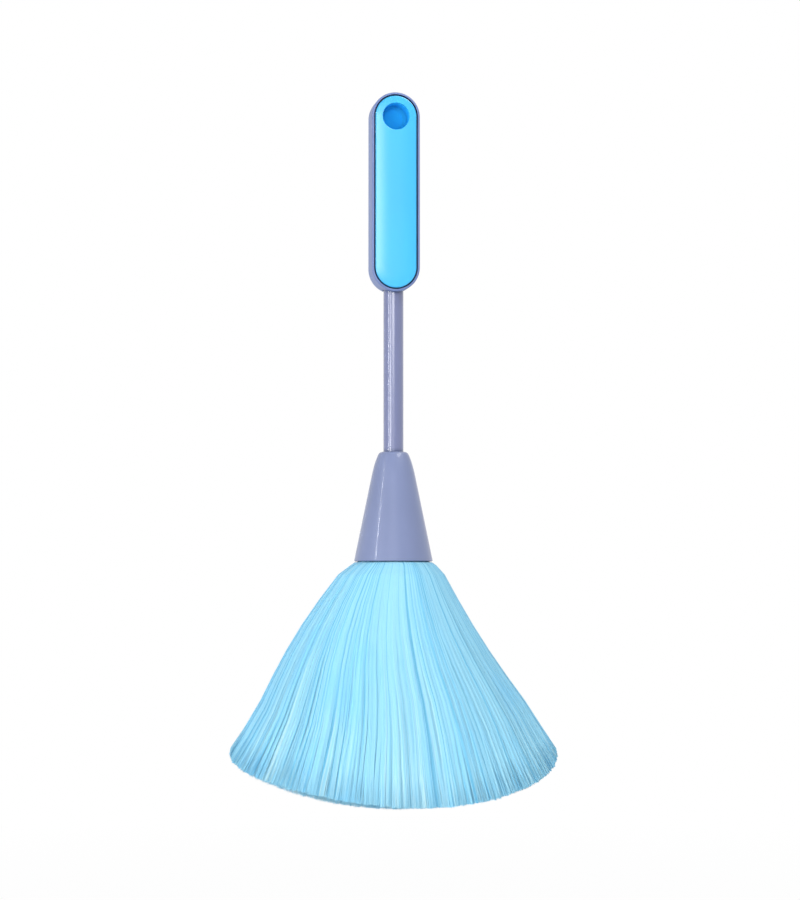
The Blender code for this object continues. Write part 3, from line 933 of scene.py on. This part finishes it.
def nearest_shade_line(turn, painted_shade_lines):
    """How far the nearest painted shade line is, in radians, and its depth."""
    place = bisect(painted_shade_lines, (turn,))
    near = (painted_shade_lines[place - 1], painted_shade_lines[place % len(painted_shade_lines)])
    return min((abs(remainder(turn - middle, tau)), depth) for middle, depth in near)


def mixed_tone(lock, draw):
    """The tone of a strand: that of its lock, with a share of its own."""
    return LOCK_TONE_SHARE * lock.tone + (1 - LOCK_TONE_SHARE) * draw.random()


def lock_path(lock, line):
    """The line of a lock with its wander, as a list of (centre, room that its strands have)."""
    across = Vector((-sin(lock.turn), cos(lock.turn), 0))
    path = []
    for centre, way in line:
        wander = lock.sway * way * sin(lock.sway_start + lock.sway_turns * way)
        path.append((centre + across * wander, lock.room * (MOUTH_ROOM_SHARE + (1 - MOUTH_ROOM_SHARE) * way)))
    return path


def root_triangles(count):
    """A bmesh of this many separate triangles, all in one place."""
    bm = bmesh.new()
    bmesh.ops.create_circle(bm, cap_ends=True, segments=3, radius=1)
    while len(bm.faces) < count:
        bmesh.ops.duplicate(bm, geom=bm.faces[: count - len(bm.faces)])
    return bm


def strand_rings(path, strand):
    """For each point of a strand, its centre, the two half widths of its section and its tone."""
    lock = strand.lock
    out = Vector((cos(lock.turn), sin(lock.turn), 0))
    across = Vector((-out.y, out.x, 0))
    last = len(path) - 1
    rings = []
    for level, (centre, room) in enumerate(path):
        way = level / last
        aside = strand.across + strand.drift * way
        # Painted shade: the tone is made deeper along thin lines round the skirt
        painted_line_shade = exp(-(strand.furrow_gap * centre.xy.length / SHADE_LINE_WIDTH) ** 2)
        growth = ROOT_TONE_SHARE + (1 - ROOT_TONE_SHARE) * way
        own = growth * (strand.tone - MIDDLE_TONE - strand.furrow_depth * painted_line_shade)
        # Painted light: the tone grows paler towards the tips
        tone = MIDDLE_TONE + own + TIP_PAINTED_LIGHT * way ** TIP_POWER
        lift = lock.bulge * (1 - aside * aside) + strand.out
        width = strand.width * (ROOT_WIDTH_SHARE + (1 - ROOT_WIDTH_SHARE) * way)
        centre = centre + (across * aside + out * lift) * room
        if level == last:
            width *= TIP_WIDTH_SHARE
            centre.z += strand.trim
        rings.append((centre, across * width, out * width, tone))
    return rings


def shade_layers(bm):
    """The two values of each point that the fibre finish reads."""
    return [bm.verts.layers.float.new(name) for name in SHADES]


def draw_strands(drawn):
    """Draws a triangle out through the rings of each strand, with a flat side facing outwards.

    The shade of the strand goes on its points.
    """
    bm = root_triangles(len(drawn))
    number_layer, level_layer = (bm.verts.layers.int.new(name) for name in ("strand", "level"))
    tone_layer, blue_layer = shade_layers(bm)
    for number, face in enumerate(bm.faces):
        section = Matrix.Rotation(pi + drawn[number][1].turn, 4, "Z")
        for vert in face.verts:
            vert.co = section @ vert.co
            vert[number_layer] = number
            vert[blue_layer] = drawn[number][1].lock.blue
    rings = [strand_rings(path, strand) for path, strand in drawn]
    faces = bm.faces[:]
    for level in range(1, len(rings[0])):
        faces = bmesh.ops.extrude_discrete_faces(bm, faces=faces)["faces"]
        for face in faces:
            for vert in face.verts:
                vert[level_layer] = level
    roots = [edge for edge in bm.edges if edge.is_boundary]
    bmesh.ops.holes_fill(bm, edges=roots, sides=3)
    for vert in bm.verts:
        centre, across, out, vert[tone_layer] = rings[vert[number_layer]][vert[level_layer]]
        vert.co = centre + across * vert.co.x + out * vert.co.y
    return bm


class DUSTER_OT_fibres(bpy.types.Operator):
    """Builds the skirt of fine fibres: a packed middle, the locks round it and the tips under it"""

    bl_idname = "duster.fibres"
    bl_label = "Fibres"

    def execute(self, context):
        fibres = context.scene.duster_fibres
        draw = random.Random(fibres.seed)
        self.pale_starts = [draw.uniform(0, tau) for _ in STREAK_COUNTS]
        self.blue_starts = [draw.uniform(0, tau) for _ in STREAK_COUNTS]
        # Painted shade lines round the skirt, each with its own depth
        depths = [fibres.furrow_depth * draw.uniform(*SHADE_LINE_DEPTHS) for _ in range(fibres.painted_shade_lines)]
        step = tau / fibres.painted_shade_lines
        self.painted_shade_lines = [(step * (number + draw.random()), depth) for number, depth in enumerate(depths)]
        finish = static_fibre(fibres)
        self.add("fibre_middle", self.middle(fibres, draw), finish)
        sectors = [[] for _ in range(SECTORS)]
        for share in LAYER_SHARES:
            for lock in self.layer(share, fibres, draw):
                path = lock_path(lock, strand_line(share, lock.turn, fibres, trim=lock.trim))
                sector = int(lock.turn / tau * SECTORS + SECTOR_START) % SECTORS
                for _ in range(fibres.strands):
                    sectors[sector].append((path, self.lock_strand(lock, fibres, draw)))
        for number, drawn in enumerate(sectors, 1):
            piece = self.add(f"fibre_locks_{number}", draw_strands(drawn), finish)
            first = 2 * number - 1
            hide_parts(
                f"inner_tuft_{number}", f"outer_tuft_{first:02d}", f"outer_tuft_{first + 1:02d}"
            )
        halves = [[], []]
        for index in range(fibres.tufts):
            share = UNDER_SHARE * sqrt((index + draw.random()) / fibres.tufts)
            tuft = self.new_lock(index * GOLDEN_TURN % tau, 0, fibres.tuft_room, 0, fibres, draw)
            end = trimmed_reach(share, tuft.turn) + tuft.trim
            line = fan_line(share, tuft.turn, end * UNDER_START_SHARE, end, UNDER_STEPS, fibres)
            path = lock_path(tuft, line)
            for number in range(fibres.tuft_strands):
                halves[index % 2].append((path, self.tuft_strand(number, tuft, fibres, draw)))
        for number, drawn in enumerate(halves, 1):
            self.add(f"fibre_tips_{number}", draw_strands(drawn), finish)
        return {"FINISHED"}

    def add(self, name, bm, finish):
        piece = solid(name, bm)
        piece.data.materials.append(finish)
        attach(piece, BODY)
        return piece

    def layer(self, share, fibres, draw):
        """Locks of uneven widths, side by side all round the skirt."""
        spread = fibres.unevenness
        widths = [draw.uniform(1 - spread, 1 + spread) for _ in range(fibres.locks)]
        scale = pi / sum(widths)
        start = draw.uniform(0, tau)
        locks = []
        for width in widths:
            half_turn = width * scale
            turn = (start + half_turn) % tau
            room = LOCK_OVERLAP * half_turn * skirt_point(share, turn, SKIRT_REACH, fibres).xy.length
            bulge = fibres.bulge * draw.uniform(*LOCK_BULGES) / sqrt(width)
            locks.append(self.new_lock(turn, half_turn, room, bulge, fibres, draw))
            start += 2 * half_turn
        return locks

    def new_lock(self, turn, half_turn, room, bulge, fibres, draw):
        """A lock at this turn, with its shades, its wander and its trim drawn at random."""
        return Lock(
            turn, half_turn, room, bulge,
            tone=draw.uniform(*LOCK_TONES) + STREAK_SHARE * streaks(turn, self.pale_starts),
            blue=draw.uniform(*LOCK_BLUES) + STREAK_SHARE * streaks(turn, self.blue_starts),
            sway=fibres.sway * draw.uniform(*LOCK_SWAYS),
            sway_turns=draw.uniform(*LOCK_SWAY_TURNS),
            sway_start=draw.uniform(0, tau),
            trim=draw.uniform(*LOCK_TRIMS),
        )

    def lock_strand(self, lock, fibres, draw):
        """A strand anywhere across a lock, turned to the round of the lock."""
        across = draw.uniform(-1, 1)
        gap, depth = nearest_shade_line((lock.turn + across * lock.half_turn) % tau, self.painted_shade_lines)
        return Strand(
            lock=lock,
            across=across,
            drift=draw.uniform(*STRAND_DRIFTS),
            out=draw.uniform(*STRAND_LIFTS),
            tone=mixed_tone(lock, draw),
            width=fibres.width * draw.uniform(*STRAND_WIDTHS),
            trim=TRIM_DEPTH * draw.random() ** TRIM_POWER,
            turn=draw.uniform(-FACET_TURN, FACET_TURN) - atan(2 * lock.bulge * across),
            furrow_gap=gap,
            furrow_depth=depth,
        )

    def tuft_strand(self, number, tuft, fibres, draw):
        """One of the strands that fill the round of a tuft evenly."""
        away = sqrt((number + draw.random()) / fibres.tuft_strands)
        turn = number * GOLDEN_TURN
        # Painted light: the tufts under the skirt are made paler to lift their shade
        return Strand(
            lock=tuft,
            across=away * cos(turn),
            drift=draw.uniform(*STRAND_DRIFTS),
            out=away * sin(turn),
            tone=mixed_tone(tuft, draw) + TIP_PAINTED_LIGHT / 2,
            width=fibres.width * draw.uniform(*STRAND_WIDTHS),
            trim=TRIM_DEPTH * draw.random() ** TRIM_POWER,
            turn=draw.uniform(0, tau),
            furrow_gap=0,
            furrow_depth=0,
        )

    def middle(self, fibres, draw):
        """The packed fibres inside the skirt, as one pleated body: a net of pleats and rows, put in place."""
        steps = fibres.levels
        columns = []
        for pleat in range(fibres.pleats):
            turn = tau * pleat / fibres.pleats
            share = MIDDLE_SHARE * (1 - fibres.pleat_depth * draw.random())
            column = [strand_line(0, turn, fibres)[0]]
            column += strand_line(share, turn, fibres, MIDDLE_END_SHARE)
            for step in reversed(range(steps)):
                column.append(strand_line(share * step / steps, turn, fibres, MIDDLE_END_SHARE)[-1])
            columns.append((column, draw.random()))
        rows = len(columns[0][0])
        net = [(0 if row in (0, rows - 1) else 1, -row) for row in range(rows)]
        bm = turned(net, fibres.pleats)
        tone_layer, blue_layer = shade_layers(bm)
        for vert in bm.verts:
            pleat = round(atan2(vert.co.y, vert.co.x) / tau * fibres.pleats) % fibres.pleats
            column, tone = columns[pleat]
            vert[tone_layer] = tone
            # Painted shade: the packed middle, seen only between the locks, takes the bluer patch colour all
            # over so that the shade there reads blue
            vert[blue_layer] = 1
            vert.co = column[round(-vert.co.z)][0]
        return bm


# Stage

def back_of(azimuth, elevation):
    """The direction from the duster to a lamp or camera."""
    level = cos(elevation)
    return Vector((sin(azimuth) * level, -cos(azimuth) * level, sin(elevation)))


def set_up(name, data, location, back):
    """A lamp or camera at this place, with its back this way."""
    made = bpy.data.objects.new(name, data)
    made.location = location
    made.rotation_euler = (-back).to_track_quat("-Z", "Y").to_euler()
    bpy.context.scene.collection.objects.link(made)
    return made


def white_for_sight(tree):
    """1 for rays that the camera sees, straight or in a reflection or glass, and 0 for light itself."""
    rays = add_node(tree, "LightPath", {}).outputs
    seen = rays["Is Camera Ray"]
    for ray in ("Is Glossy Ray", "Is Transmission Ray"):
        seen = calculate(tree, "MAXIMUM", seen, rays[ray])
    return seen


class DUSTER_OT_stage(bpy.types.Operator):
    """Builds the pale floor, the soft lights and the camera"""

    bl_idname = "duster.stage"
    bl_label = "Stage"

    def execute(self, context):
        stage = context.scene.duster_stage
        self.make_sky(context.scene, stage)
        self.make_floor(stage)
        self.make_camera(context.scene, stage)
        for lamp in LAMPS:
            self.make_light(lamp, stage)
        context.scene.view_settings.view_transform = "Standard"
        return {"FINISHED"}

    def make_sky(self, scene, stage):
        sky = bpy.data.worlds.new("sky")
        scene.world = sky
        sky.use_nodes = True
        tree = sky.node_tree
        light = tree.nodes["Background"]
        feed(tree, light, {"Color": (0.96, 0.97, 1, 1), "Strength": stage.sky_strength})
        white = add_node(tree, "Background", {"Color": (1, 1, 1, 1)})
        mixed = mix_shaders(tree, white_for_sight(tree), light, white)
        feed(tree, tree.nodes["World Output"], {"Surface": mixed.outputs["Shader"]})

    def make_floor(self, stage):
        """A round floor that fades to white away from the duster, and that only shows from above."""
        bm = bmesh.new()
        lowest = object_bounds()[0].z
        place = Matrix.Translation((0, 0, lowest - stage.floor_gap))
        radius = stage.floor_radius
        bmesh.ops.create_circle(bm, cap_ends=True, segments=64, radius=radius, matrix=place)
        floor = solid("floor", bm)
        if floor.data.polygons[0].normal.z < 0:
            floor.data.flip_normals()
        material, tree, plain = new_finish(
            "pale_floor", roughness=0.8, Base_Color=(0.9, 0.9, 0.92, 1), Specular_IOR_Level=0
        )
        away = add_node(tree, "VectorMath", {0: object_place(tree)}, operation="LENGTH").outputs["Value"]
        fade = between(tree, away, FLOOR_WHITE_SHARE, 1, start=stage.shadow_near, end=stage.shadow_far)
        share = calculate(tree, "MULTIPLY", white_for_sight(tree), fade)
        above = mix_shaders(tree, share, plain, add_node(tree, "Emission", {}))
        below = add_node(tree, "NewGeometry", {}).outputs["Backfacing"]
        seen = mix_shaders(tree, below, above, add_node(tree, "BsdfTransparent", {}))
        feed(tree, tree.nodes["Material Output"], {"Surface": seen.outputs["Shader"]})
        floor.data.materials.append(material)
        floor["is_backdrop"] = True

    def make_light(self, lamp, stage):
        light = bpy.data.lights.new(lamp.name, "AREA")
        light.shape = "RECTANGLE"
        light.size, light.size_y = lamp.size
        light.energy = getattr(stage, lamp.power) * lamp.share
        back = back_of(radians(lamp.azimuth), radians(lamp.elevation))
        set_up(lamp.name, light, Vector((0, 0, stage.aim_height)) + back * lamp.distance, back)

    def make_camera(self, scene, stage):
        lens = bpy.data.cameras.new("camera")
        lens.lens = stage.lens
        back = back_of(stage.azimuth, stage.elevation)
        right = Vector((cos(stage.azimuth), sin(stage.azimuth), 0))
        aim = Vector((0, 0, stage.aim_height)) + right * stage.aim_side
        scene.camera = set_up("camera", lens, aim + back * stage.distance, back)


OPERATORS = (
    DUSTER_OT_handle_shell,
    DUSTER_OT_front_plate,
    DUSTER_OT_rod,
    DUSTER_OT_cone,
    DUSTER_OT_fixings,
    DUSTER_OT_fibres,
    DUSTER_OT_stage,
)
SETTINGS = {
    "duster_handle": DusterHandle,
    "duster_neck": DusterNeck,
    "duster_fibres": DusterFibres,
    "duster_stage": DusterStage,
}


class DUSTER_PT_panel(bpy.types.Panel):
    """Lists the pieces and the sizes and colours that they are made from"""

    bl_idname = "DUSTER_PT_panel"
    bl_label = "Static duster"
    bl_space_type = "VIEW_3D"
    bl_region_type = "UI"
    bl_category = "Duster"

    def draw(self, context):
        for operator in OPERATORS:
            self.layout.operator(operator.bl_idname)
        for name, group in SETTINGS.items():
            box = self.layout.box()
            for setting in group.__annotations__:
                box.prop(getattr(context.scene, name), setting)


def register():
    for made in (*SETTINGS.values(), *OPERATORS, DUSTER_PT_panel):
        bpy.utils.register_class(made)
    for name, group in SETTINGS.items():
        setattr(bpy.types.Scene, name, bpy.props.PointerProperty(type=group))


def unregister():
    for name in SETTINGS:
        delattr(bpy.types.Scene, name)
    for made in (DUSTER_PT_panel, *reversed(OPERATORS), *reversed(SETTINGS.values())):
        bpy.utils.unregister_class(made)


def main():
    register()
    bpy.ops.duster.handle_shell()
    bpy.ops.duster.front_plate()
    bpy.ops.duster.rod()
    bpy.ops.duster.cone()
    bpy.ops.duster.fixings()
    bpy.ops.duster.fibres()
    bpy.ops.duster.stage()
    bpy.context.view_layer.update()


if __name__ == "__main__":
    main()
